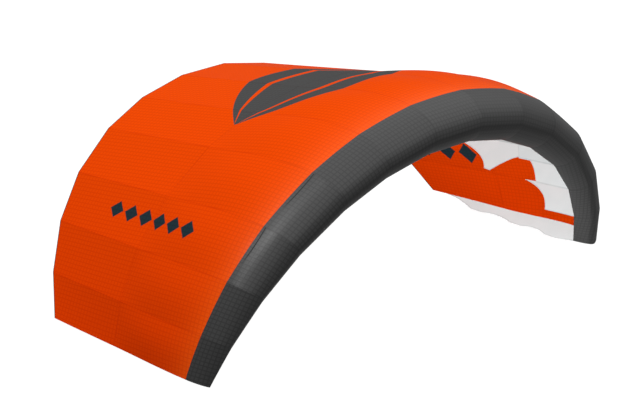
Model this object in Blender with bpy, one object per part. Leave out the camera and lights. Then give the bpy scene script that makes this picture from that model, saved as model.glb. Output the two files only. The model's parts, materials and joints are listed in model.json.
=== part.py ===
"""Parawing: a small single-skin kite wing in its flying shape, standing on its two wing tips.

Thirteen cells between fourteen ribs. Each cell has a rear top panel, a front top panel and a nose
panel that wraps the leading edge and ends a little way back underneath. X runs along the span,
+Y from the leading to the trailing edge, +Z up; metres. The origin is under the middle of the box.
"""
import math

import bmesh
import bpy
import numpy as np

# Cloth
CLOTH = 0.001            # thickness of every sheet
GAP = 0.0003             # gap between sheets that are sewn together

# Plan: widths of the cells from the middle cell to the tip cell
CELL_WIDTHS = (0.232, 0.223, 0.212, 0.232, 0.212, 0.200, 0.165)
MIDDLE_CHORD = 1.485
NOSE_SWEEP = 0.2454      # how far the tip's nose lies behind the middle's
NOSE_SWEEP_POWER = 2.09
TAIL_SWEEP = 0.3047      # how far the tip's trailing edge lies ahead of the middle's
TAIL_SWEEP_POWER = 2.93

# Arch: the canopy's slope in degrees, as these factors times the 1st, 3rd and 5th power of the
# distance from the middle, counted along the arch with 1 at the tip
ARCH_TURN = {1: 69.6, 3: 4.0, 5: -7.8}

# Section, in fractions of the chord: value in the middle, what the tip adds to it, and the power
# of the distance from the middle with which that is blended in.
# Heights are taken from the trailing edge, outwards and square to the arch.
SECTION = {
    #                   middle   tip adds  power
    "boundary_back":   (0.0897, -0.0074, 6.0),    # orange-to-grey seam, behind the nose
    "boundary_height": (0.1326, -0.0606, 4.5),
    "boundary_slope":  (-0.166, 0.101, 6.0),      # rise of the top going forward
    "seam_ahead":      (0.4883, -0.0558, 2.0),    # mid seam, ahead of the trailing edge
    "seam_height":     (0.0831, -0.0484, 6.0),
    "seam_slope":      (0.174, -0.106, 6.0),
    "nose_height":     (0.0627, -0.0512, 4.8),
    "mouth_back":      (0.0636, 0.0429, 6.0),     # rear edge of the nose panel, underneath
    "mouth_height":    (0.0018, -0.0143, 1.24),
    "lobe_end":        (0.2015, 0.0650, 8.0),     # rear end of a rib's front lobe
}
UNDER_SLOPE = 0.09       # rise of the underside going forward
NOSE_PULL = {"top": (0.598, 0.497), "under": (0.487, 0.49)}    # fullness of the nose curves

# Billow between the ribs, in fractions of a cell's width. The rear panels are straight across.
FRONT_BILLOW = 0.055     # halfway along a front panel
FRONT_BILLOW_POWER = 0.7
BOUNDARY_BILLOW = 0.016  # along the orange-to-grey seam
NOSE_BILLOW_END = 0.55   # how far along the nose panel that fades out

# Ribs, in fractions of the chord behind the nose; bend_share and bend_rise are fractions of the
# way from the front lobe to the rib's end, along and up
SHORT_RIB = {"end": 0.410, "bend_share": 0.310, "bend_rise": 0.890}
LONG_RIB = {"bend_1": 0.2965, "bend_2": 0.337, "bend_rise": 0.784, "lobe_start": 0.411,
            "lobe_end": 0.438, "lobe_drop": 0.024, "tail_bend": 0.486, "end": 0.720}
TIP_RIB = {"end": 0.910, "tail_bend": 0.830}
TIP_FEET = (             # the three flat-bottomed lobes on which each tip stands
    # start, end, and the rise of the scallop behind it (doubled, as a curve's handle)
    {"start": 0.200, "end": 0.265, "scallop": 0.030},
    {"start": 0.415, "end": 0.482, "scallop": 0.026},
    {"start": 0.665, "end": 0.729, "scallop": 0.0},
)
FOOT_DROP = 0.029        # from the tip's trailing edge down to the feet, along the rib
LONG_RIBS = (2, 4, 6, 7, 9, 11)
RIB_END_DEPTH = 0.0015   # blunt rear end of a rib

# Steps along the curves
REAR_STEPS = 4
FRONT_STEPS = 7
NOSE_TOP_STEPS = 9
NOSE_UNDER_STEPS = 6
SPAN_STEPS = 4
ARC_STEPS = 7

COLOURS = {
    "orange_cloth": (0.80, 0.075, 0.004),
    "grey_cloth": (0.085, 0.087, 0.087),
    "white_cloth": (0.68, 0.69, 0.69),
}


def clear_scene():
    for item in list(bpy.data.objects):
        bpy.data.objects.remove(item, do_unlink=True)


def make_material(name):
    material = bpy.data.materials.new(name)
    material.use_nodes = True
    shader = material.node_tree.nodes["Principled BSDF"]
    shader.inputs["Base Color"].default_value = (*COLOURS[name], 1.0)
    shader.inputs["Roughness"].default_value = 0.55
    shader.inputs["Metallic"].default_value = 0.0
    return material


def blend(name, distance):
    middle, tip, power = SECTION[name]
    return middle + tip * distance ** power


def arch_slope(distance):
    """Slope of the canopy in radians at a signed distance from the middle, with 1 at the tip."""
    return math.radians(sum(turn * distance ** power for power, turn in ARCH_TURN.items()))


def lay_out_ribs():
    """Places the ribs along the arch, from the -X tip to the +X tip."""
    half = list(CELL_WIDTHS[1:])
    widths = half[::-1] + [CELL_WIDTHS[0]] + half
    along = np.concatenate([[0.0], np.cumsum(widths)])
    along -= along[-1] / 2
    reach = along[-1]
    middles = (along[1:] + along[:-1]) / 2 / reach
    x = 0.0
    z = 0.0
    places = [(x, z)]
    for width, middle in zip(widths, middles):
        slope = arch_slope(middle)
        x += width * math.cos(slope)
        z -= width * math.sin(slope)
        places.append((x, z))
    half_span = x / 2
    lift = FOOT_DROP * math.cos(arch_slope(1.0))
    ribs = []
    for (px, pz), station in zip(places, along / reach):
        slope = arch_slope(station)
        ribs.append({
            "x": px - half_span,
            "z": pz + lift,
            "out": np.array([math.sin(slope), math.cos(slope)]),
            "distance": abs(station),
        })
    return ribs


def bezier(start, pull_1, pull_2, end, steps):
    t = np.linspace(0.0, 1.0, steps + 1)[:, None]
    return ((1 - t) ** 3 * start + 3 * (1 - t) ** 2 * t * pull_1
            + 3 * (1 - t) * t ** 2 * pull_2 + t ** 3 * end)


def unit(vector):
    return vector / np.linalg.norm(vector)


def draw_section(rib):
    """Adds the outer profile of a rib station: its rear, front and nose curves as (y, height)."""
    d = rib["distance"]
    nose_y = -MIDDLE_CHORD / 2 + NOSE_SWEEP * d ** NOSE_SWEEP_POWER
    tail_y = MIDDLE_CHORD / 2 - TAIL_SWEEP * d ** TAIL_SWEEP_POWER
    chord = tail_y - nose_y
    tail = np.array([tail_y, 0.0])
    seam = np.array([tail_y - chord * blend("seam_ahead", d), chord * blend("seam_height", d)])
    boundary = np.array([nose_y + chord * blend("boundary_back", d),
                         chord * blend("boundary_height", d)])
    nose = np.array([nose_y, chord * blend("nose_height", d)])
    mouth = np.array([nose_y + chord * blend("mouth_back", d), chord * blend("mouth_height", d)])

    seam_way = unit(np.array([-1.0, blend("seam_slope", d)]))
    boundary_way = unit(np.array([-1.0, blend("boundary_slope", d)]))
    rear_way = unit(seam - tail)
    tail_way = 2 * rear_way.dot(seam_way) * rear_way - seam_way
    rear_third = np.linalg.norm(seam - tail) / 3
    front_third = np.linalg.norm(boundary - seam) / 3
    rib["rear"] = bezier(tail, tail + tail_way * rear_third, seam - seam_way * rear_third, seam,
                         REAR_STEPS)
    rib["front"] = bezier(seam, seam + seam_way * front_third,
                          boundary - boundary_way * front_third, boundary, FRONT_STEPS)

    up = np.array([0.0, 1.0])
    top_out, top_in = NOSE_PULL["top"]
    under_in, under_out = NOSE_PULL["under"]
    over = bezier(boundary, boundary + boundary_way * (boundary - nose)[0] * top_out,
                  nose + up * (boundary - nose)[1] * top_in, nose, NOSE_TOP_STEPS)
    under_way = unit(np.array([-1.0, UNDER_SLOPE]))
    under = bezier(nose, nose - up * (nose - mouth)[1] * under_in,
                   mouth + under_way * (mouth - nose)[0] * under_out, mouth, NOSE_UNDER_STEPS)
    rib["nose"] = np.concatenate([over, under[1:]])
    rib["nose_y"] = nose_y
    rib["chord"] = chord
    rib["lobe_end"] = blend("lobe_end", d)
    rib["mouth"] = mouth


def centre_ribs(ribs):
    """Moves the sections along Y so that the origin is under the middle of the wing's box."""
    front = min(rib["nose"][:, 0].min() for rib in ribs)
    back = max(rib["rear"][:, 0].max() for rib in ribs)
    shift = -(front + back) / 2
    for rib in ribs:
        for name in ("rear", "front", "nose"):
            rib[name][:, 0] += shift
        rib["mouth"][0] += shift
        rib["nose_y"] += shift


def directions(curve):
    """Unit way forward at each point of a polyline."""
    steps = np.diff(curve, axis=0)
    steps /= np.linalg.norm(steps, axis=1)[:, None]
    ways = np.concatenate([steps[:1], steps[1:] + steps[:-1], steps[-1:]])
    return ways / np.linalg.norm(ways, axis=1)[:, None]


def inset(curve, depth):
    """Moves a curve that runs forward over the top into the wing, square to itself."""
    ways = directions(curve)
    return curve + depth * np.stack([-ways[:, 1], ways[:, 0]], axis=1)


def trim(curve, cut_start, cut_end):
    """Shortens a curve by moving its end points in along it."""
    short = curve.copy()
    short[0] += unit(curve[1] - curve[0]) * cut_start
    short[-1] += unit(curve[-2] - curve[-1]) * cut_end
    return short


def place(rib, flat):
    """Points of a rib's own plane, (y, height), in space."""
    out_x, out_z = rib["out"]
    return np.stack([rib["x"] + out_x * flat[:, 1], flat[:, 0], rib["z"] + out_z * flat[:, 1]],
                    axis=1)


def add_object(name, points, faces, material):
    mesh = bpy.data.meshes.new(name)
    mesh.from_pydata([tuple(point) for point in points], [], faces)
    shape = bmesh.new()
    shape.from_mesh(mesh)
    bmesh.ops.recalc_face_normals(shape, faces=shape.faces)
    shape.to_mesh(mesh)
    shape.free()
    mesh.materials.append(material)
    thing = bpy.data.objects.new(name, mesh)
    bpy.context.collection.objects.link(thing)
    return thing


def grid_faces(rows, columns, first, flip):
    """Two triangles for each square of a grid, cut along the same diagonal on either side."""
    faces = []
    for row in range(rows - 1):
        for column in range(columns - 1):
            a = first + row * columns + column
            b = a + 1
            c = a + columns + 1
            d = a + columns
            pair = [(a, b, c), (a, c, d)]
            faces += [face[::-1] for face in pair] if flip else pair
    return faces


def rim_faces(rows, columns):
    """Closes the edge between an outer grid and the inner grid that follows it."""
    count = rows * columns
    loop = list(range(columns))
    loop += [row * columns + columns - 1 for row in range(1, rows)]
    loop += [(rows - 1) * columns + column for column in range(columns - 2, -1, -1)]
    loop += [row * columns for row in range(rows - 2, 0, -1)]
    faces = []
    for here, after in zip(loop, loop[1:] + loop[:1]):
        faces.append((here, after, after + count))
        faces.append((here, after + count, here + count))
    return faces


def flat_bulge(along):
    return np.zeros_like(along)


def front_bulge(along):
    """Billow of a front panel in cell widths, from the mid seam to the orange-to-grey seam."""
    return (FRONT_BILLOW * np.sin(math.pi * along) ** FRONT_BILLOW_POWER
            + BOUNDARY_BILLOW * along)


def nose_bulge(along):
    """Billow of a nose panel in cell widths, from the orange-to-grey seam to the mouth."""
    return BOUNDARY_BILLOW * np.clip(1.0 - along / NOSE_BILLOW_END, 0.0, 1.0) ** 2


def make_panel(name, left, right, curve, material, ends, bulge_along):
    """One sheet between two ribs: straight across the cell but for its billow."""
    sides = []
    for depth in (0.0, CLOTH):
        pair = []
        for rib in (left, right):
            outline = trim(rib[curve], *ends)
            pair.append(place(rib, inset(outline, depth) if depth else outline))
        sides.append(pair)
    width = math.hypot(right["x"] - left["x"], right["z"] - left["z"])
    edge = GAP / 2 / width
    columns = SPAN_STEPS + 1
    across = np.linspace(edge, 1.0 - edge, columns)[None, :, None]
    rows = len(sides[0][0])
    along = np.linspace(0.0, 1.0, rows)[:, None, None]
    out = unit(left["out"] + right["out"])
    bulge = width * bulge_along(along) * np.sin(math.pi * across)
    bulge = bulge * np.array([out[0], 0.0, out[1]])
    grids = [(1 - across) * a[:, None] + across * b[:, None] + bulge for a, b in sides]
    points = np.concatenate([grid.reshape(-1, 3) for grid in grids])
    faces = grid_faces(rows, columns, 0, False) + grid_faces(rows, columns, rows * columns, True)
    faces += rim_faces(rows, columns)
    return add_object(name, points, faces, material)


def arc(start, bend, end):
    """A round edge that leaves start and meets end pointing at the bend."""
    return bezier(start, start + (bend - start) * 2 / 3, end + (bend - end) * 2 / 3, end,
                  ARC_STEPS)


def rib_frame(rib):
    """The line that a rib follows just inside the skin, and helpers to read it."""
    skin = np.concatenate([rib["rear"], rib["front"][1:], rib["nose"][1:]])
    inner = inset(skin, CLOTH + GAP)
    top_count = len(rib["rear"]) + len(rib["front"]) - 1
    top = inner[:top_count][::-1]

    def back(fraction):
        return rib["nose_y"] + rib["chord"] * fraction

    def skin_height(fraction):
        return float(np.interp(back(fraction), top[:, 0], top[:, 1]))

    return inner, back, skin_height


def front_lobe(rib, back):
    """Lower edge of the front lobe: straight on from the underside of the nose panel."""
    start = rib["mouth"] + np.array([GAP, 0.0])
    end_y = back(rib["lobe_end"])
    return start, np.array([end_y, start[1] - UNDER_SLOPE * (end_y - start[0])])


def short_edge(rib, back, skin_height):
    """Lower edge of a short rib: the front lobe, then one round sweep up to the skin."""
    start, lobe = front_lobe(rib, back)
    end = np.array([back(SHORT_RIB["end"]), skin_height(SHORT_RIB["end"]) - RIB_END_DEPTH])
    share = np.array([SHORT_RIB["bend_share"], SHORT_RIB["bend_rise"]])
    bend = lobe + share * (end - lobe)
    return np.concatenate([[start], arc(lobe, bend, end)])


def long_edge(rib, back, skin_height):
    """Lower edge of a long rib: two lobes with an arch between them, then a sweep to the skin."""
    start, lobe = front_lobe(rib, back)
    level = rib["mouth"][1] - LONG_RIB["lobe_drop"] * rib["chord"]
    lobe_start = np.array([back(LONG_RIB["lobe_start"]), level])
    lobe_end = np.array([back(LONG_RIB["lobe_end"]), level])
    bends = []
    for name in ("bend_1", "bend_2"):
        height = level + LONG_RIB["bend_rise"] * (skin_height(LONG_RIB[name]) - level)
        bends.append(np.array([back(LONG_RIB[name]), height]))
    arch = bezier(lobe, bends[0], bends[1], lobe_start, 2 * ARC_STEPS)
    end = np.array([back(LONG_RIB["end"]), skin_height(LONG_RIB["end"]) - RIB_END_DEPTH])
    tail = arc(lobe_end, np.array([back(LONG_RIB["tail_bend"]), end[1]]), end)
    return np.concatenate([[start], arch, tail])


def tip_edge(rib, back, skin_height, foot_height):
    """Lower edge of a tip rib: three feet on the ground with shallow scallops between them."""
    edge = [rib["mouth"] + np.array([GAP, 0.0])]
    for foot, after in zip(TIP_FEET, TIP_FEET[1:] + (None,)):
        edge.append(np.array([back(foot["start"]), foot_height]))
        start = np.array([back(foot["end"]), foot_height])
        if after:
            end = np.array([back(after["start"]), foot_height])
            bend = (start + end) / 2 + np.array([0.0, foot["scallop"] * rib["chord"]])
            edge += list(arc(start, bend, end)[:-1])
    end = np.array([back(TIP_RIB["end"]), skin_height(TIP_RIB["end"]) - RIB_END_DEPTH])
    edge += list(arc(start, np.array([back(TIP_RIB["tail_bend"]), end[1]]), end))
    return np.array(edge)


def rib_outline(rib, kind, side):
    """Closed outline of one face of a rib; side is the face's offset from the rib's plane."""
    inner, back, skin_height = rib_frame(rib)
    if kind == "tip":
        across = np.array([rib["out"][1], -rib["out"][0]])
        foot_height = -(rib["z"] + across[1] * side) / rib["out"][1]
        lower = tip_edge(rib, back, skin_height, foot_height)
        end = TIP_RIB["end"]
    elif kind == "long":
        lower = long_edge(rib, back, skin_height)
        end = LONG_RIB["end"]
    else:
        lower = short_edge(rib, back, skin_height)
        end = SHORT_RIB["end"]
    rear = np.array([[back(end), skin_height(end)]])
    upper = np.concatenate([rear, inner[inner[:, 0] < back(end) - GAP]])
    mouth = inner[-1] + np.array([2 * GAP, 0.0])
    return np.concatenate([upper, [mouth], lower])


def make_rib(name, rib, kind, material):
    across = np.array([rib["out"][1], 0.0, -rib["out"][0]])
    faces = []
    points = []
    for side in (-CLOTH / 2, CLOTH / 2):
        outline = rib_outline(rib, kind, side)
        points.append(place(rib, outline) + across * side)
    count = len(points[0])
    faces.append(list(range(count)))
    faces.append(list(range(2 * count - 1, count - 1, -1)))
    for here in range(count):
        after = (here + 1) % count
        faces.append((here, after, after + count, here + count))
    return add_object(name, np.concatenate(points), faces, material)


def rib_kind(index, count):
    if index in (0, count - 1):
        return "tip"
    return "long" if index in LONG_RIBS else "short"


def main():
    clear_scene()
    materials = {name: make_material(name) for name in COLOURS}
    ribs = lay_out_ribs()
    for rib in ribs:
        draw_section(rib)
    centre_ribs(ribs)
    half_gap = GAP / 2
    for number, (left, right) in enumerate(zip(ribs, ribs[1:]), start=1):
        make_panel(f"rear_panel_{number:02d}", left, right, "rear", materials["orange_cloth"],
                   (0.0, half_gap), flat_bulge)
        make_panel(f"front_panel_{number:02d}", left, right, "front", materials["orange_cloth"],
                   (half_gap, half_gap), front_bulge)
        make_panel(f"nose_panel_{number:02d}", left, right, "nose", materials["grey_cloth"],
                   (half_gap, 0.0), nose_bulge)
    for index, rib in enumerate(ribs):
        make_rib(f"rib_{index + 1:02d}", rib, rib_kind(index, len(ribs)),
                 materials["white_cloth"])


main()
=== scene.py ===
import json
import math
import bmesh
import bpy
import numpy as np
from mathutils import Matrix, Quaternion, Vector

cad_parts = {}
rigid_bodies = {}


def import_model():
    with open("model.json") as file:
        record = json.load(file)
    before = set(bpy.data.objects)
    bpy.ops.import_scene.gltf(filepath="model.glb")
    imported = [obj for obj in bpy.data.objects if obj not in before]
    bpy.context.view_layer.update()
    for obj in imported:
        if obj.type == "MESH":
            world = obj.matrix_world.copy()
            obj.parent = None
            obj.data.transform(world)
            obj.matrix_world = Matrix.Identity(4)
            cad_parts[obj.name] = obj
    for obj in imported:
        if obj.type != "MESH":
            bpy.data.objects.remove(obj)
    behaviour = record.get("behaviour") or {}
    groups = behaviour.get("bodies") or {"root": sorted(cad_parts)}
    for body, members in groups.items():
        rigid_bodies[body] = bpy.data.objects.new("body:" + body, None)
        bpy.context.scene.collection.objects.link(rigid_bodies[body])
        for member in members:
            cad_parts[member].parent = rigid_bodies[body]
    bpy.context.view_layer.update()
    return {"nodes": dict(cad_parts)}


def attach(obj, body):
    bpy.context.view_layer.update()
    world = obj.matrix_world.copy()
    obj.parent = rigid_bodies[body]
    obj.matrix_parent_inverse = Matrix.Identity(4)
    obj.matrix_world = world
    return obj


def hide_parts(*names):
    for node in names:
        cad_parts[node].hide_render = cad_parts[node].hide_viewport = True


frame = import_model()
print("frame loaded:", len(frame["nodes"]), "cloth solids")

plan = {  # in metres unless a note says otherwise
    "cellWidths": (0.232, 0.223, 0.212, 0.232, 0.212, 0.200, 0.165),  # from the middle cell to a tip
    "middleChord": 1.485,
    "noseSweep": 0.2454, "noseSweepPower": 2.09,  # the tip's nose lies this far back
    "tailSweep": 0.3047, "tailSweepPower": 2.93,  # the tip's trailing edge lies this far forward
    "archTurn": {1: 69.6, 3: 4.0, 5: -7.8},  # degrees of slope for each power of the way to the tip
    "footDrop": 0.029,  # from a tip's trailing edge down to the feet
    "cloth": 0.001,  # thickness of every sheet
    "seamGap": 0.0003,  # between sheets that are sewn together
}

section = {  # in chords: value in the middle, what the tip adds, power of the way to the tip
    "boundaryBack": (0.0897, -0.0074, 6.0),  # the orange-to-grey seam, behind the nose
    "boundaryHeight": (0.1326, -0.0606, 4.5),
    "boundarySlope": (-0.166, 0.101, 6.0),
    "seamAhead": (0.4883, -0.0558, 2.0),  # the cross seam in the top, ahead of the trailing edge
    "seamHeight": (0.0831, -0.0484, 6.0),
    "seamSlope": (0.174, -0.106, 6.0),
    "noseHeight": (0.0627, -0.0512, 4.8),
    "mouthBack": (0.0636, 0.0429, 6.0),  # the rear edge of the nose cloth, underneath
    "mouthHeight": (0.0018, -0.0143, 1.24),
    "lobeEnd": (0.2015, 0.065, 8.0),  # rear end of a rib's front lobe
    "underSlope": 0.09,
    "overPull": (0.598, 0.497),  # fullness of the nose curve above and below its tip
    "underPull": (0.487, 0.49),
}


def slopeAt(station):
    # slope of the canopy in radians: a sum of turn times station to a power
    return math.radians(sum(turn * station ** power for power, turn in plan["archTurn"].items()))


def layOutRibs():
    # walks along the arch from cell to cell, each step as wide as the cell and at its middle's slope
    half = plan["cellWidths"]
    widths = np.array(half[:0:-1] + half)
    along = np.concatenate([[0.0], np.cumsum(widths)])
    along -= along[-1] / 2
    reach = along[-1]
    turns = np.array([slopeAt(s) for s in (along[1:] + along[:-1]) / 2 / reach])
    x = np.concatenate([[0.0], np.cumsum(widths * np.cos(turns))])
    z = np.concatenate([[0.0], -np.cumsum(widths * np.sin(turns))])
    z += plan["footDrop"] * math.cos(slopeAt(1.0))
    ribs = []
    for place, px, pz in zip(along, x - x[-1] / 2, z):
        slope = slopeAt(place / reach)
        ribs.append({"x": px, "z": pz, "span": place, "tipward": abs(place / reach),
                     "out": np.array([math.sin(slope), math.cos(slope)])})
    return ribs


def bezier(start, pull1, pull2, end, steps):
    # cubic curve: the four points weighted by (1-t)^3, 3(1-t)^2 t, 3(1-t) t^2 and t^3
    t = np.linspace(0.0, 1.0, steps + 1)[:, None]
    return ((1 - t) ** 3 * start + 3 * (1 - t) ** 2 * t * pull1
            + 3 * (1 - t) * t ** 2 * pull2 + t ** 3 * end)


def unit(way):
    return way / np.linalg.norm(way)


curveSteps = {"rear": 30, "front": 40, "over": 36, "under": 20}


def drawSection(rib):
    # outer profile of a rib as (y, height): rear and front curves over the top, then round the nose
    def at(name):
        middle, tip, power = section[name]
        return middle + tip * rib["tipward"] ** power

    noseY = -plan["middleChord"] / 2 + plan["noseSweep"] * rib["tipward"] ** plan["noseSweepPower"]
    tailY = plan["middleChord"] / 2 - plan["tailSweep"] * rib["tipward"] ** plan["tailSweepPower"]
    chord = tailY - noseY
    tail = np.array([tailY, 0.0])
    seam = np.array([tailY - chord * at("seamAhead"), chord * at("seamHeight")])
    boundary = np.array([noseY + chord * at("boundaryBack"), chord * at("boundaryHeight")])
    nose = np.array([noseY, chord * at("noseHeight")])
    mouth = np.array([noseY + chord * at("mouthBack"), chord * at("mouthHeight")])

    seamWay = unit(np.array([-1.0, at("seamSlope")]))
    boundaryWay = unit(np.array([-1.0, at("boundarySlope")]))
    rearWay = unit(seam - tail)
    tailWay = 2 * rearWay.dot(seamWay) * rearWay - seamWay
    rearThird = np.linalg.norm(seam - tail) / 3
    frontThird = np.linalg.norm(boundary - seam) / 3
    rib["rear"] = bezier(tail, tail + tailWay * rearThird, seam - seamWay * rearThird, seam,
                         curveSteps["rear"])
    rib["front"] = bezier(seam, seam + seamWay * frontThird, boundary - boundaryWay * frontThird,
                          boundary, curveSteps["front"])
    up = np.array([0.0, 1.0])
    overOut, overIn = section["overPull"]
    underIn, underOut = section["underPull"]
    over = bezier(boundary, boundary + boundaryWay * (boundary - nose)[0] * overOut,
                  nose + up * (boundary - nose)[1] * overIn, nose, curveSteps["over"])
    underWay = unit(np.array([-1.0, section["underSlope"]]))
    under = bezier(nose, nose - up * (nose - mouth)[1] * underIn,
                   mouth + underWay * (mouth - nose)[0] * underOut, mouth, curveSteps["under"])
    rib["nose"] = np.concatenate([over, under[1:]])
    rib["noseY"], rib["chord"], rib["mouth"], rib["lobeEnd"] = noseY, chord, mouth, at("lobeEnd")


def centreRibs(ribs):
    # moves the sections along Y so that the origin is under the middle of the wing's box
    front = min(rib["nose"][:, 0].min() for rib in ribs)
    back = max(rib["rear"][:, 0].max() for rib in ribs)
    for rib in ribs:
        for name in ("rear", "front", "nose"):
            rib[name][:, 0] -= (front + back) / 2
        rib["mouth"][0] -= (front + back) / 2
        rib["noseY"] -= (front + back) / 2


def inset(curve, depth):
    # moves a curve that runs forward over the top into the wing, square to itself
    steps = np.diff(curve, axis=0)
    steps /= np.linalg.norm(steps, axis=1)[:, None]
    ways = np.concatenate([steps[:1], steps[1:] + steps[:-1], steps[-1:]])
    ways /= np.linalg.norm(ways, axis=1)[:, None]
    return curve + depth * np.stack([-ways[:, 1], ways[:, 0]], axis=1)


def place(rib, flat, side=0.0):
    # points of a rib's plane, (y, height), in space; side moves them off the plane
    outX, outZ = rib["out"]
    return np.stack([rib["x"] + outX * flat[..., 1] + outZ * side, flat[..., 0],
                     rib["z"] + outZ * flat[..., 1] - outX * side], axis=-1)


sharpAngle = 50.0  # degrees; a sharper edge than this stays crisp


def closeSheet(name, outer, inner, layers, maps):
    # an outer and an inner (rows, columns, 3) grid of points, joined by a strip round their edges;
    # layers are (rows, columns) numbers for the shaders, maps are (rows, columns, 2) places in the flat
    rows, columns = outer.shape[:2]
    count = rows * columns
    index = np.arange(count).reshape(rows, columns)
    a, b, c, d = index[:-1, :-1], index[:-1, 1:], index[1:, 1:], index[1:, :-1]
    skin = np.stack([a, b, c, d], axis=-1).reshape(-1, 4)
    rim = np.concatenate([index[0, :-1], index[:-1, -1], index[-1, :0:-1], index[:0:-1, 0]])
    after = np.roll(rim, -1)
    edge = np.stack([rim, after, after + count, rim + count], axis=-1)
    faces = np.concatenate([skin, skin[:, ::-1] + count, edge])
    mesh = bpy.data.meshes.new(name)
    mesh.from_pydata(np.concatenate([outer.reshape(-1, 3), inner.reshape(-1, 3)]), [], faces.tolist())
    for layerName, values in layers.items():
        layer = mesh.attributes.new(layerName, "FLOAT", "POINT")
        layer.data.foreach_set("value", np.tile(values.ravel(), 2).astype(np.float32))
    corners = faces.ravel() % count
    for mapName, uv in maps.items():
        layer = mesh.uv_layers.new(name=mapName)
        layer.data.foreach_set("uv", uv.reshape(-1, 2)[corners].astype(np.float32).ravel())
    shell = bmesh.new()
    shell.from_mesh(mesh)
    bmesh.ops.recalc_face_normals(shell, faces=shell.faces)
    shell.to_mesh(mesh)
    shell.free()
    mesh.polygons.foreach_set("use_smooth", np.ones(len(faces), bool))
    mesh.set_sharp_from_angle(angle=math.radians(sharpAngle))
    piece = bpy.data.objects.new(name, mesh)
    bpy.context.scene.collection.objects.link(piece)
    return piece


def arcLength(points, axis):
    # running length along one axis of a grid of points
    steps = np.linalg.norm(np.diff(points, axis=axis), axis=-1)
    zero = np.zeros_like(steps.take([0], axis=axis))
    return np.cumsum(np.concatenate([zero, steps], axis=axis), axis=axis)


def sheetArea(grid):
    # area of a grid: half the cross product of each square's diagonals
    cross = np.cross(grid[1:, 1:] - grid[:-1, :-1], grid[1:, :-1] - grid[:-1, 1:])
    return float(np.linalg.norm(cross, axis=-1).sum() / 2)


panels = {
    "rear": {"columns": 12, "slot": "orange_cloth", "node": "rear_panel"},
    "front": {"columns": 20, "slot": "orange_cloth", "node": "front_panel"},
    "nose": {"columns": 20, "slot": "grey_cloth", "node": "nose_panel"},
}
billow = {  # in cell widths
    "front": 0.055, "power": 0.7,  # halfway along a front panel; a lower power is fuller at its ends
    "boundary": 0.016,  # along the orange-to-grey seam
    "noseEnd": 0.55,  # how far along the nose panel that fades out
}
paintedCreaseShade = {  # painted shade of a fold in two cells of the nose: a dark shallow arc a little ahead of the boundary
    "cells": (2, 3), "away": 0.0165, "bow": 0.0055,
    "middle": 0.65, "reach": 0.35, "from": 0.25, "fade": 0.3,  # in cell widths
}
glossAndHighlightReach = 0.06  # how far back from the boundary the top cloth's gloss and its painted highlight reach
turnPast = 0.017  # how far past its foremost line the nose turns under
noLine = 1.0  # a distance too far for any line to show


def smooth(t):
    # 3 t^2 - 2 t^3 between 0 and 1
    t = np.clip(t, 0.0, 1.0)
    return t * t * (3 - 2 * t)


def billowAlong(kind, v):
    # front: a sine to a power plus a rise towards the boundary; nose: the rest of that rise, squared
    if kind == "front":
        return billow["front"] * np.sin(math.pi * v) ** billow["power"] + billow["boundary"] * v
    if kind == "nose":
        return billow["boundary"] * np.clip(1 - v / billow["noseEnd"], 0.0, 1.0) ** 2
    return 0 * v


def makePanel(kind, cell, left, right):
    # straight across from rib to rib, plus a billow: width times sin(pi u) times its share along
    settings = panels[kind]
    u = np.linspace(0.0, 1.0, settings["columns"] + 1)[None, :, None]  # across the cell
    v = np.linspace(0.0, 1.0, len(left[kind]))[:, None, None]  # along the chord, from back to front
    width = math.hypot(right["x"] - left["x"], right["z"] - left["z"])
    out = unit(left["out"] + right["out"])
    rise = width * np.sin(math.pi * u) * billowAlong(kind, v)
    rise = rise * np.array([out[0], 0.0, out[1]])
    grids = []
    for depth in (0.0, plan["cloth"]):
        a = place(left, inset(left[kind], depth))[:, None]
        b = place(right, inset(right[kind], depth))[:, None]
        grids.append((1 - u) * a + u * b + rise)
    outer, inner = grids
    across = arcLength(outer, 1)
    along = arcLength(outer, 0)
    toEnd = along[-1:] - along
    zero, far = np.zeros_like(along), np.full_like(along, noLine)
    way = u[..., 0]
    layers = {"fromRib": np.minimum(across, across[:, -1:] - across),
              "creaseGap": far, "creaseSeen": zero, "turnGap": far, "gloss": zero}
    if kind == "rear":
        layers.update(fromSeam=toEnd, fromHem=along)
    elif kind == "front":
        layers.update(fromSeam=np.minimum(along, toEnd), fromHem=far, gloss=np.exp(-toEnd / glossAndHighlightReach))
    else:
        # distance from the line of the painted fold shade
        foldLine = paintedCreaseShade["away"] - paintedCreaseShade["bow"] * ((way - paintedCreaseShade["middle"]) / paintedCreaseShade["reach"]) ** 2
        layers.update(fromSeam=along, fromHem=toEnd, creaseGap=along - foldLine,
                      turnGap=along - along[curveSteps["over"]] - turnPast)
        if cell in paintedCreaseShade["cells"]:
            layers["creaseSeen"] = zero + smooth((way - paintedCreaseShade["from"]) / paintedCreaseShade["fade"])
    middle = across - across[:, -1:] / 2
    span = (1 - way) * left["span"] + way * right["span"] + zero
    leaning = middle + ripstop["lean"] * along * np.sign(left["span"] + right["span"])
    rows = along if kind == "nose" else outer[..., 1]  # square to the chord, but round the nose
    maps = {"cut": np.stack([middle, along], axis=-1), "plan": np.stack([span, outer[..., 1]], axis=-1),
            "threads": np.stack([leaning / ripstop["across"], rows / ripstop["along"][kind]], axis=-1)}
    piece = closeSheet(f"{kind}Panel{cell + 1:02d}", outer, inner, layers, maps)
    flat = (float(across[:, -1].max()), float(along[-1].mean()))
    area = min(sheetArea(outer), flat[0] * flat[1])
    return piece, flat, area


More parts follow.
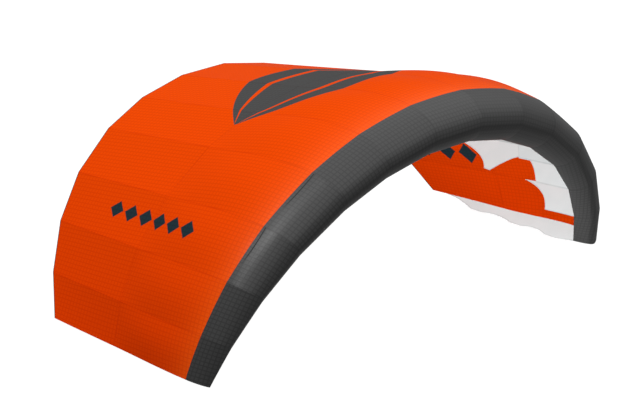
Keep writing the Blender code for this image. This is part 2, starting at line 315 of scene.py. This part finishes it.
# the ribs' lower edges: places along the chord from the nose, in chords
shortRib = {"end": 0.410, "bendShare": (0.310, 0.890)}
longRib = {"bends": (0.2965, 0.337), "bendRise": 0.784, "lobeStart": 0.411, "lobeEnd": 0.438,
           "lobeDrop": 0.024, "tailBend": 0.486, "end": 0.720}
tipRib = {"end": 0.910, "tailBend": 0.830,
          "feet": ((0.200, 0.265), (0.415, 0.482), (0.665, 0.729)), "scallops": (0.030, 0.026)}
ribLayout = {"long": (2, 4, 6, 7, 9, 11), "tip": (0, 13), "blunt": 0.0015,
             "columns": 150, "rows": 14, "arcSteps": 20,
             "noseShare": 0.12, "closest": 1e-5}  # closer columns at the nose, but never this close


def ribKind(number):
    # the kind of a rib, by its number from the -X tip
    if number in ribLayout["tip"]:
        return "tip"
    return "long" if number in ribLayout["long"] else "short"


def arc(start, bend, end):
    # a round edge that leaves start and meets end pointing at the bend
    return bezier(start, start + (bend - start) * 2 / 3, end + (bend - end) * 2 / 3, end,
                  ribLayout["arcSteps"])


def ribEdges(rib, kind, side):
    # the line under the skin and the scalloped lower edge, as (y, height), and the rib's rear end
    skin = np.concatenate([rib["rear"], rib["front"][1:], rib["nose"][1:]])
    inner = inset(skin, plan["cloth"] + plan["seamGap"])
    tip = int(inner[:, 0].argmin())
    top = inner[:tip + 1][::-1]
    under = inner[tip:]

    def back(fraction):
        return rib["noseY"] + rib["chord"] * fraction

    def skinHeight(fraction):
        return float(np.interp(back(fraction), top[:, 0], top[:, 1]))

    start = rib["mouth"] + np.array([plan["seamGap"], 0.0])
    lobeY = back(rib["lobeEnd"])
    lobe = np.array([lobeY, start[1] - section["underSlope"] * (lobeY - start[0])])
    if kind == "short":
        end = np.array([back(shortRib["end"]), skinHeight(shortRib["end"]) - ribLayout["blunt"]])
        edge = [start[None], arc(lobe, lobe + np.array(shortRib["bendShare"]) * (end - lobe), end)]
    elif kind == "long":
        level = rib["mouth"][1] - longRib["lobeDrop"] * rib["chord"]
        bends = [np.array([back(at), level + longRib["bendRise"] * (skinHeight(at) - level)])
                 for at in longRib["bends"]]
        end = np.array([back(longRib["end"]), skinHeight(longRib["end"]) - ribLayout["blunt"]])
        arch = bezier(lobe, *bends, np.array([back(longRib["lobeStart"]), level]),
                      2 * ribLayout["arcSteps"])
        tail = arc(np.array([back(longRib["lobeEnd"]), level]),
                   np.array([back(longRib["tailBend"]), end[1]]), end)
        edge = [start[None], arch, tail]
    else:
        ground = -(rib["z"] - rib["out"][0] * side) / rib["out"][1]
        edge = [start[None]]
        feet = tipRib["feet"]
        for (heel, toe), after, scallop in zip(feet, feet[1:], tipRib["scallops"]):
            low = np.array([back(toe), ground])
            nextLow = np.array([back(after[0]), ground])
            bend = (low + nextLow) / 2 + np.array([0.0, scallop * rib["chord"]])
            edge += [np.array([[back(heel), ground]]), arc(low, bend, nextLow)[:-1]]
        end = np.array([back(tipRib["end"]), skinHeight(tipRib["end"]) - ribLayout["blunt"]])
        edge += [np.array([[back(feet[-1][0]), ground]]),
                 arc(np.array([back(feet[-1][1]), ground]),
                     np.array([back(tipRib["tailBend"]), end[1]]), end)]
    return top, np.concatenate([under] + edge), end


def makeRib(number, rib, kind):
    # at each step back from the nose, straight from the scalloped edge up to the skin
    faces = []
    for side in (-plan["cloth"] / 2, plan["cloth"] / 2):
        top, low, end = ribEdges(rib, kind, side)
        reach = end[0] - top[0, 0]
        even = np.linspace(0.0, 1.0, ribLayout["columns"])
        y = np.union1d(top[0, 0] + reach * ribLayout["noseShare"] * even ** 2, top[0, 0] + reach * even)
        y = np.union1d(y, low[(low[:, 0] > rib["mouth"][0]) & (low[:, 0] < end[0]), 0])
        y = y[np.append(np.diff(y) > ribLayout["closest"], True)]
        high = np.interp(y, top[:, 0], top[:, 1])
        bottom = np.interp(y, low[:, 0], low[:, 1])
        v = np.linspace(0.0, 1.0, ribLayout["rows"] + 1)[:, None]
        height = (1 - v) * bottom + v * high
        faces.append(np.stack([y + 0 * height, height], axis=-1))
    flat = faces[0]
    grids = [place(rib, grid, side) for grid, side in zip(faces, (-plan["cloth"] / 2, plan["cloth"] / 2))]
    layers = {"fromEdge": flat[..., 1] - flat[:1, :, 1], "fromSkin": flat[-1:, :, 1] - flat[..., 1]}
    maps = {"cut": flat, "threads": flat / ripstop["across"]}
    piece = closeSheet(f"rib{number:02d}", grids[1], grids[0], layers, maps)
    size = flat.reshape(-1, 2).max(0) - flat.reshape(-1, 2).min(0)
    return piece, (float(size[0]), float(size[1])), sheetArea(grids[0])


class Wire:
    # an output socket of a shader node; arithmetic on wires adds Math nodes
    def __init__(self, socket):
        self.socket = socket
        self.tree = socket.id_data

    def node(self, kind, settings=None, sockets=None, output=0):
        return addNode(self.tree, kind, settings, sockets, output)

    def math(self, operation, *values):
        return self.node("ShaderNodeMath", {"operation": operation}, dict(enumerate(values)))

    def __add__(self, other):
        return self.math("ADD", self, other)

    def __radd__(self, other):
        return self.math("ADD", other, self)

    def __sub__(self, other):
        return self.math("SUBTRACT", self, other)

    def __rsub__(self, other):
        return self.math("SUBTRACT", other, self)

    def __mul__(self, other):
        return self.math("MULTIPLY", self, other)

    def __rmul__(self, other):
        return self.math("MULTIPLY", other, self)

    def __truediv__(self, other):
        return self.math("DIVIDE", self, other)

    def __rtruediv__(self, other):
        return self.math("DIVIDE", other, self)

    def __pow__(self, power):
        return self.math("POWER", self, power)

    def __abs__(self):
        return self.math("ABSOLUTE", self)

    def larger(self, other):
        return self.math("MAXIMUM", self, other)

    def smaller(self, other):
        return self.math("MINIMUM", self, other)

    def fold(self, size):
        # distance to the nearest even multiple of size
        return self.math("PINGPONG", self, size)

    def split(self):
        # the first two parts of a vector
        return [self.node("ShaderNodeSeparateXYZ", sockets={0: self}, output=part) for part in (0, 1)]


def addNode(tree, kind, settings=None, sockets=None, output=0):
    # a node of any kind: its settings first, then values or wires for its sockets
    made = tree.nodes.new(kind)
    for name, value in (settings or {}).items():
        setattr(made, name, value)
    for name, value in (sockets or {}).items():
        if isinstance(value, Wire):
            tree.links.new(value.socket, made.inputs[name])
        else:
            made.inputs[name].default_value = value
    return Wire(made.outputs[output])


def ramp(value, low, high):
    # 0 up to low, 1 from high on, and smooth between
    return value.node("ShaderNodeMapRange", {"interpolation_type": "SMOOTHSTEP"},
                      {"Value": value, "From Min": low, "From Max": high})


def line(distance, at, width):
    # 1 on a line at that distance, falling to 0 from a fifth to half of its width to either side
    return 1 - ramp(abs(distance - at), width / 5, width / 2)


def mixColours(factor, first, second, blend="MIX"):
    # the first colour, and the second one, or the two multiplied, as the factor nears 1
    return factor.node("ShaderNodeMix", {"data_type": "RGBA", "blend_type": blend},
                       {0: factor, 6: first, 7: second}, output=2)


def attribute(tree, name):
    # a number that a sheet's mesh carries, from its layers
    return addNode(tree, "ShaderNodeAttribute", {"attribute_name": name}, output=2)


def startMaterial(name, finish):
    material = bpy.data.materials.new(name)
    material.use_nodes = True
    tree = material.node_tree
    shader = tree.nodes["Principled BSDF"]
    for socket, value in finish.items():
        shader.inputs[socket].default_value = value
    return material, tree, shader


def connect(tree, shader, wires):
    for name, wire in wires.items():
        tree.links.new(wire.socket, shader.inputs[name])


ripstop = {
    "across": 0.0170,  # pitch of the thick threads along the chord, which lean a little outwards
    "along": {"rear": 0.0202, "front": 0.0190, "nose": 0.0177},  # and of those across the cell
    "lean": 0.06,
    "thread": (0.057, 0.19),  # half widths of a thick thread, its dark core and all, in pitches
    "acrossStrength": 1.0, "alongStrength": 0.88,
    "weave": 0.0009, "weaveShare": 0.15,  # the fine threads between them: pitch and share of the height
    "height": 0.0002,
}


def ripstopLines(tree):
    # the grid of thick threads, 1 on a thread, and the fine weave, from the piece's own flat maps
    x, y = addNode(tree, "ShaderNodeUVMap", {"uv_map": "threads"}).split()
    columns = (1 - ramp(x.fold(0.5), *ripstop["thread"])) * ripstop["acrossStrength"]
    rows = (1 - ramp(y.fold(0.5), *ripstop["thread"])) * ripstop["alongStrength"]
    uv = addNode(tree, "ShaderNodeUVMap", {"uv_map": "cut"})
    fineX, fineY = uv.split()
    weave = (fineX.fold(ripstop["weave"] / 2) + fineY.fold(ripstop["weave"] / 2)) / ripstop["weave"]
    return columns.larger(rows), weave, uv


seams = {"width": 0.0025, "stitch": 0.0045, "stitchWidth": 0.0012, "stitchLength": 0.0035,
         "stitchGap": (0.0008, 0.0016), "hem": 0.010}


def seamLines(tree, uv):
    # a soft dark line on each seam, and a dashed row of stitches beside it and along the hem
    acrossCell, alongCell = uv.split()
    fromRib, fromSeam, fromHem = (attribute(tree, name) for name in ("fromRib", "fromSeam", "fromHem"))
    seam = 1 - ramp(fromRib.smaller(fromSeam), 0.0, seams["width"])
    dashAlong = ramp(alongCell.fold(seams["stitchLength"]), *seams["stitchGap"])
    dashAcross = ramp(acrossCell.fold(seams["stitchLength"]), *seams["stitchGap"])
    ribStitch = line(fromRib, seams["stitch"], seams["stitchWidth"]) * dashAlong
    seamStitch = line(fromSeam, seams["stitch"], seams["stitchWidth"]) * dashAcross
    hemStitch = line(fromHem, seams["hem"], seams["stitchWidth"]) * dashAcross
    return seam, ribStitch.larger(seamStitch).larger(hemStitch)


def clothBump(grid, weave, strength):
    # the thick threads stand up from the cloth, with the fine weave between them
    height = grid + weave * ripstop["weaveShare"]
    return height.node("ShaderNodeBump", sockets={"Strength": strength, "Distance": ripstop["height"],
                                                  "Height": height})


prints = {
    "lens": {"reach": 0.42, "middle": 0.04, "half": 0.30, "stripe": (0.50, 0.60)},
    "rows": (  # lozenges along the chord, one row on the -X side and a larger one on the +X side
        {"span": -0.882, "middle": 0.055, "length": 0.60, "pitch": 0.100,
         "halfWide": 0.034, "halfLong": 0.044},
        {"span": 1.102, "middle": 0.215, "length": 0.46, "pitch": 0.115,
         "halfWide": 0.055, "halfLong": 0.048},
    ),
    "edge": 0.003,
}


def lensPrint(span, y):
    # inside where |y - middle| is under half * (1 - (span / reach)^2); bare on a pair of pinstripes
    lens = prints["lens"]
    bow = 1 - (span / lens["reach"]) * (span / lens["reach"])
    share = abs(y - lens["middle"]) / (bow * lens["half"]).larger(0.001)
    soft = prints["edge"] / lens["half"]
    inside = (1 - ramp(share, 1 - soft, 1 + soft)) * ramp(bow, 0.0, 0.01)
    low, high = lens["stripe"]
    stripe = ramp(share, low - soft, low + soft) * (1 - ramp(share, high - soft, high + soft))
    return inside * (1 - stripe)


def lozengeRow(span, y, row):
    # lozenges where |across| / halfWide + |along| / halfLong is under 1, one for each pitch
    across = abs(span - row["span"]) / row["halfWide"]
    start = row["middle"] - row["length"] / 2 + row["pitch"] / 2
    along = (y - start).fold(row["pitch"] / 2) / row["halfLong"]
    soft = prints["edge"] / row["halfWide"]
    shape = 1 - ramp(across + along, 1 - soft, 1 + soft)
    return shape * (1 - ramp(abs(y - row["middle"]), row["length"] / 2, row["length"] / 2 + 0.001))


orange = {
    # top and tip: the colour at the middle holds a painted sheen that fades out towards the tips
    "top": (0.84, 0.071, 0.0008, 1.0), "tip": (0.84, 0.052, 0.0003, 1.0),
    # glossy: a paler orange painted along the boundary as a highlight
    "glossy": (0.95, 0.094, 0.001, 1.0),
    "paintedSheenFade": 1.5, "reach": 1.36,  # painted sheen: the middle's cloth is painted yellower than the tips', as where light falls straight on it
    "thread": (0.80, 0.62, 0.6, 1.0), "seam": (0.86, 0.70, 0.7, 1.0),  # times the cloth's colour
    "binding": (0.0035, 0.0050), "dark": (0.045, 0.04, 0.035, 1.0),  # the bound trailing edge
    "lens": (0.072, 0.074, 0.074, 1.0), "row": (0.018, 0.036, 0.046, 1.0),
    "threadShare": 0.48, "seamShare": 0.8, "stitchShare": 0.5, "bump": 0.35, "coat": 0.28,
    "finish": {"Roughness": 0.35, "Specular IOR Level": 0.003, "Coat Roughness": 0.24},
}


def makeOrange():
    material, tree, shader = startMaterial("orangeCloth", orange["finish"])
    grid, weave, uv = ripstopLines(tree)
    seam, stitch = seamLines(tree, uv)
    span, y = addNode(tree, "ShaderNodeUVMap", {"uv_map": "plan"}).split()
    # painted sheen, fading from the middle of the span towards the tips
    tipward = (abs(span) / orange["reach"]) ** orange["paintedSheenFade"]
    colour = mixColours(tipward, orange["top"], orange["tip"])
    # the share near the boundary drives both the coat's gloss and a painted highlight in the colour
    paintedHighlightAndGloss = attribute(tree, "gloss")
    colour = mixColours(paintedHighlightAndGloss, colour, orange["glossy"])
    colour = mixColours(lensPrint(span, y), colour, orange["lens"])
    for row in prints["rows"]:
        colour = mixColours(lozengeRow(span, y, row), colour, orange["row"])
    colour = mixColours(grid * orange["threadShare"], colour, orange["thread"], "MULTIPLY")
    colour = mixColours(seam * orange["seamShare"], colour, orange["seam"], "MULTIPLY")
    colour = mixColours(stitch * orange["stitchShare"], colour, orange["thread"], "MULTIPLY")
    binding = 1 - ramp(attribute(tree, "fromHem"), *orange["binding"])
    colour = mixColours(binding, colour, orange["dark"])
    connect(tree, shader, {"Base Color": colour, "Coat Weight": paintedHighlightAndGloss * orange["coat"],
                           "Normal": clothBump(grid, weave, orange["bump"])})
    return material


grey = {
    "cloth": (0.046, 0.046, 0.046, 1.0),
    "thread": (0.50, 0.50, 0.50, 1.0), "paintedCreaseShade": (0.15, 0.15, 0.15, 1.0),  # times the cloth's colour
    "threadShare": 0.75, "seamShare": 0.5, "stitchShare": 0.5, "bump": 0.35,
    "creaseWidth": 0.006, "creaseShare": 0.9, "creaseRough": 0.4,
    "turn": (0.66, 0.66, 0.66, 1.0), "turnWidth": 0.034,  # the shade where the nose turns under
    "finish": {"Roughness": 0.33, "Specular IOR Level": 0.46},
}


def makeGrey():
    material, tree, shader = startMaterial("greyCloth", grey["finish"])
    grid, weave, uv = ripstopLines(tree)
    seam, stitch = seamLines(tree, uv)
    # painted shade of a fold: a dark line in two cells of the nose, where the cloth is also rougher
    fold = line(attribute(tree, "creaseGap"), 0.0, grey["creaseWidth"]) * attribute(tree, "creaseSeen")
    colour = mixColours(grid * grey["threadShare"], grey["cloth"], grey["thread"], "MULTIPLY")
    colour = mixColours(seam * grey["seamShare"], colour, grey["thread"], "MULTIPLY")
    colour = mixColours(stitch * grey["stitchShare"], colour, grey["thread"], "MULTIPLY")
    colour = mixColours(fold * grey["creaseShare"], colour, grey["paintedCreaseShade"], "MULTIPLY")
    turned = line(attribute(tree, "turnGap"), 0.0, grey["turnWidth"])
    colour = mixColours(turned, colour, grey["turn"], "MULTIPLY")
    roughness = grey["finish"]["Roughness"] + fold * grey["creaseRough"]
    connect(tree, shader, {"Base Color": colour, "Roughness": roughness,
                           "Normal": clothBump(grid, weave, grey["bump"])})
    return material


white = {
    "cloth": (0.78, 0.825, 0.83, 1.0), "mottled": (0.75, 0.80, 0.805, 1.0),
    "edge": (0.90, 0.90, 0.90, 1.0), "stitch": (0.80, 0.80, 0.80, 1.0),  # times the cloth's colour
    "hem": (0.0048, 0.006), "stitchAt": 0.004, "stitchWidth": 0.0012,
    "mottleScale": 9.0, "mottleRange": (0.35, 0.65), "threadHeight": 0.5, "bump": 0.25,
    "finish": {"Roughness": 0.6, "Specular IOR Level": 0.1},
}


def makeWhite():
    material, tree, shader = startMaterial("whiteCloth", white["finish"])
    grid, weave, uv = ripstopLines(tree)
    fromEdge, fromSkin = attribute(tree, "fromEdge"), attribute(tree, "fromSkin")
    noise = uv.node("ShaderNodeTexNoise", sockets={"Vector": uv, "Scale": white["mottleScale"]})
    colour = mixColours(ramp(noise, *white["mottleRange"]), white["cloth"], white["mottled"])
    colour = mixColours(1 - ramp(fromEdge, *white["hem"]), colour, white["edge"], "MULTIPLY")
    along, height = uv.split()
    dash = ramp(along.fold(seams["stitchLength"]), *seams["stitchGap"])
    edgeStitch, skinStitch = (line(distance, white["stitchAt"], white["stitchWidth"])
                              for distance in (fromEdge, fromSkin))
    colour = mixColours(edgeStitch.larger(skinStitch) * dash, colour, white["stitch"], "MULTIPLY")
    normal = clothBump(grid * white["threadHeight"], weave, white["bump"])
    connect(tree, shader, {"Base Color": colour, "Normal": normal})
    return material


studio = {
    "floor": 0.12, "floorGlow": 0.99, "floorRough": 0.9, "floorSize": 80.0, "wallRadius": 39.0,
    "below": 0.19, "low": 0.27, "high": 1.17,  # the sky's light under, at and over the horizon
    "lowRise": (-0.35, 0.05), "highRise": (0.1, 0.8), "lean": (0.0, -0.2, 0.98),
    "lamps": (  # a lamp for one kind of piece lights only pieces whose names start so, without shadows
        {"name": "keyLamp", "place": (-3.2, -0.1, 5.6), "aim": (-0.5, -0.1, 0.6), "size": 3.4,
         "power": 73.0, "glossy": False},
        {"name": "sheenLamp", "place": (-4.50, -0.17, 4.78), "aim": (-0.75, -0.55, 0.75), "size": 2.3,
         "power": 82.0, "diffuse": False},
        {"name": "insideLamp", "place": (-0.7, -0.2, 0.35), "aim": (0.9, -0.15, 0.4), "size": 0.5,
         "power": 20.5, "kinds": ("rear", "front")},
        {"name": "sideLamp", "place": (-0.3, -1.95, 6.0), "aim": (0.9, -0.15, 0.4), "size": 2.0,
         "power": 335.0, "kinds": ("rib",)},
        {"name": "bounceLamp", "place": (0.4, -0.2, -0.2), "aim": (0.5, -0.5, 0.7), "size": 0.6,
         "power": 7.0, "kinds": ("nose",), "glossy": False},
        {"name": "tipLamp", "place": (-2.2, -2.2, 0.2), "aim": (1.05, -0.45, 0.1), "size": 0.6,
         "power": 2.2, "kinds": ("nose",), "glossy": False, "spread": 25.0},
    ),
}
view = {"place": (-7.5795, -8.0395, 4.4338), "aim": (0.0519, 0.1013, 0.2986), "roll": -0.27,
        "lens": 165.66, "sensor": 36.0}


def makeFloor():
    # a floor and a wall far behind it, both pale enough to show white; neither shades or lights the wing
    bpy.ops.mesh.primitive_plane_add(size=studio["floorSize"])
    bpy.context.object.name = "floor"
    bpy.ops.mesh.primitive_cylinder_add(radius=studio["wallRadius"], depth=studio["floorSize"],
                                        end_fill_type="NOTHING")
    bpy.context.object.name = "wall"
    material, tree, shader = startMaterial("floor", {
        "Base Color": (studio["floor"],) * 3 + (1.0,), "Roughness": studio["floorRough"],
        "Emission Color": (1.0, 1.0, 1.0, 1.0), "Emission Strength": studio["floorGlow"]})
    for name in ("floor", "wall"):
        backdrop = bpy.data.objects[name]
        backdrop.data.materials.append(material)
        backdrop.visible_diffuse = False
        backdrop.visible_glossy = False
        backdrop.visible_shadow = False


def makeWorld():
    # dark below the horizon, grey at it, and rising smoothly to white overhead, leaning a little forward
    world = bpy.data.worlds.new("studio")
    world.use_nodes = True
    tree = world.node_tree
    way = addNode(tree, "ShaderNodeTexCoord")
    height = way.node("ShaderNodeVectorMath", {"operation": "DOT_PRODUCT"},
                      {0: way, 1: studio["lean"]}, output=1)
    below, low, high = ((studio[name],) * 3 + (1.0,) for name in ("below", "low", "high"))
    glow = mixColours(ramp(height, *studio["lowRise"]), below, low)
    glow = mixColours(ramp(height, *studio["highRise"]), glow, high)
    tree.links.new(glow.socket, tree.nodes["Background"].inputs["Color"])
    world.cycles.max_bounces = 0
    bpy.context.scene.world = world


def makeLamp(name, place, aim, size, power, kinds=(), diffuse=True, glossy=True, spread=180.0):
    # a soft round lamp that doesn't show; size is its width and spread its cone, in degrees
    lamp = bpy.data.lights.new(name, "AREA")
    lamp.shape = "DISK"
    lamp.size = size
    lamp.energy = power
    lamp.spread = math.radians(spread)
    lamp.cycles.max_bounces = 0
    holder = bpy.data.objects.new(name, lamp)
    holder.location = place
    holder.rotation_euler = (Vector(aim) - Vector(place)).to_track_quat("-Z", "Y").to_euler()
    holder.visible_camera = False
    holder.visible_diffuse = diffuse
    holder.visible_glossy = glossy
    bpy.context.scene.collection.objects.link(holder)
    if kinds:
        group = bpy.data.collections.new(name)
        for piece in bpy.context.scene.objects:
            if piece.name.startswith(kinds):
                group.objects.link(piece)
        holder.light_linking.receiver_collection = group
        lamp.use_shadow = False


def makeCamera():
    camera = bpy.data.cameras.new("camera")
    camera.lens = view["lens"]
    camera.sensor_width = view["sensor"]
    eye = bpy.data.objects.new("camera", camera)
    eye.location = view["place"]
    ahead = Vector(view["aim"]) - Vector(view["place"])
    turn = Quaternion(ahead.normalized(), math.radians(-view["roll"])) @ ahead.to_track_quat("-Z", "Y")
    eye.rotation_euler = turn.to_euler()
    bpy.context.scene.collection.objects.link(eye)
    bpy.context.scene.camera = eye
    bpy.context.scene.view_settings.view_transform = "Standard"


def declare(piece, node, slot, rests):
    # gives a sheet the cloth it is cut from, hangs it on the root body and hides the solid it stands for
    piece.data.materials.append(materials[slot])
    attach(piece, "root")
    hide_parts(node)


ribs = layOutRibs()
for rib in ribs:
    drawSection(rib)
centreRibs(ribs)
materials = {"orange_cloth": makeOrange(), "grey_cloth": makeGrey(), "white_cloth": makeWhite()}
print("materials made")
for number, rib in enumerate(ribs):
    kind = ribKind(number)
    piece, flat, area = makeRib(number + 1, rib, kind)
    rests = ["floor"] if kind == "tip" else [f"front_panel_{number + 1:02d}"]
    declare(piece, f"rib_{number + 1:02d}", "white_cloth", rests)
print("ribs made")
for cell, (left, right) in enumerate(zip(ribs, ribs[1:])):
    for kind, settings in panels.items():
        piece, flat, area = makePanel(kind, cell, left, right)
        declare(piece, f"{settings['node']}_{cell + 1:02d}", settings["slot"],
                [f"rib{cell + 1:02d}", f"rib{cell + 2:02d}"])
print("panels made")
makeFloor()
makeWorld()
for lamp in studio["lamps"]:
    makeLamp(**lamp)
makeCamera()
print("studio made")
bpy.context.view_layer.update()
